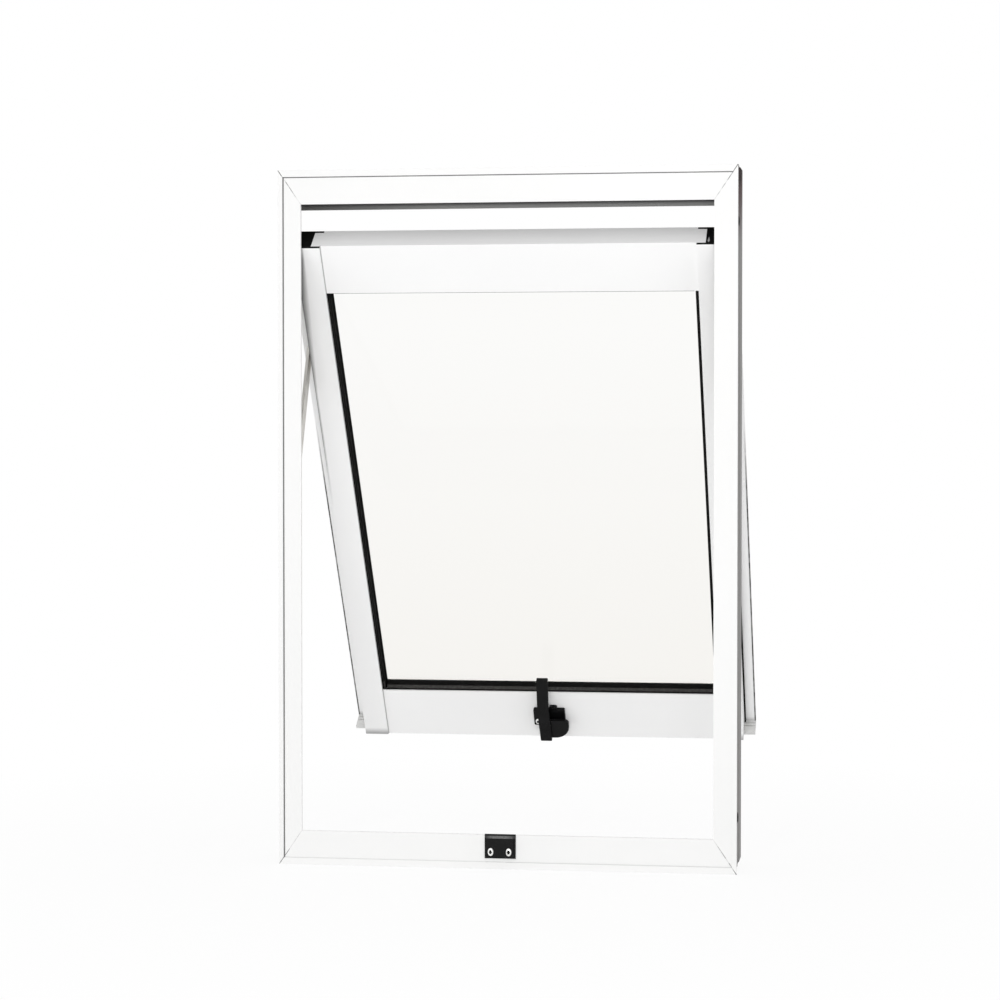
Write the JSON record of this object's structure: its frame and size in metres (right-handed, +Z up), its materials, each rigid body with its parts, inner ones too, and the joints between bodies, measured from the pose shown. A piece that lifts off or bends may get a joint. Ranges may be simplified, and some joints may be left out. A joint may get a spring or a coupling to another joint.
{
  "type": "top hung awning window",
  "caption": "Small white aluminium top hung window, sash pushed out on friction stays, black cam handle and sill keeper.",
  "frame": {"origin": "middle of the sill's flat underside, at half the frame's depth", "axes": "+Z up, +Y from the room to the outdoors, +X to the right seen from the room"},
  "size_m": [0.396, 0.3513, 0.6],
  "materials": {
    "white_aluminium": "satin",
    "clear_glass": "polished",
    "black_rubber": "matte",
    "black_plastic": "matte",
    "grey_plastic": "matte",
    "black_metal": "satin",
    "stay_steel": "satin",
    "bright_rivet": "satin",
    "nylon_shoe": "matte"
  },
  "bodies": {
    "window": {"frame_head": "white_aluminium", "frame_jamb_left": "white_aluminium", "frame_jamb_right": "white_aluminium", "frame_seal_head": "black_rubber", "frame_seal_left": "black_rubber", "frame_seal_right": "black_rubber", "frame_seal_sill": "black_rubber", "frame_sill": "white_aluminium", "glass_gasket_inner_bottom": "black_rubber", "glass_gasket_inner_left": "black_rubber", "glass_gasket_inner_right": "black_rubber", "glass_gasket_inner_top": "black_rubber", "glass_gasket_outer_bottom": "black_rubber", "glass_gasket_outer_left": "black_rubber", "glass_gasket_outer_right": "black_rubber", "glass_gasket_outer_top": "black_rubber", "glass_pane": "clear_glass", "handle_base": "black_metal", "handle_pin": "black_metal", "keeper": "black_metal", "sash_bottom_rail": "white_aluminium", "sash_cap_left": "black_plastic", "sash_cap_right": "black_plastic", "sash_plug_left": "grey_plastic", "sash_plug_right": "grey_plastic", "sash_seal_left": "black_rubber", "sash_seal_right": "black_rubber", "sash_stile_left": "white_aluminium", "sash_stile_right": "white_aluminium", "sash_top_rail": "white_aluminium", "stay_arm_left": "stay_steel", "stay_arm_right": "stay_steel", "stay_jamb_pivot_left": "bright_rivet", "stay_jamb_pivot_right": "bright_rivet", "stay_sash_bar_left": "stay_steel", "stay_sash_bar_right": "stay_steel", "stay_sash_pivot_left": "bright_rivet", "stay_sash_pivot_right": "bright_rivet", "stay_shoe_left": "nylon_shoe", "stay_shoe_pivot_left": "bright_rivet", "stay_shoe_pivot_right": "bright_rivet", "stay_shoe_right": "nylon_shoe", "stay_track_left": "stay_steel", "stay_track_right": "stay_steel"},
    "handle": {"handle_lever": "black_metal"}
  },
  "joints": [
    {"name": "handle_turn", "type": "hinge", "parent": "window", "child": "handle", "pos_m": [-0.0053, 0.27985, 0.09074], "axis": [0, 0.8211, 0.5707], "range_deg": [0, 90]}
  ]
}
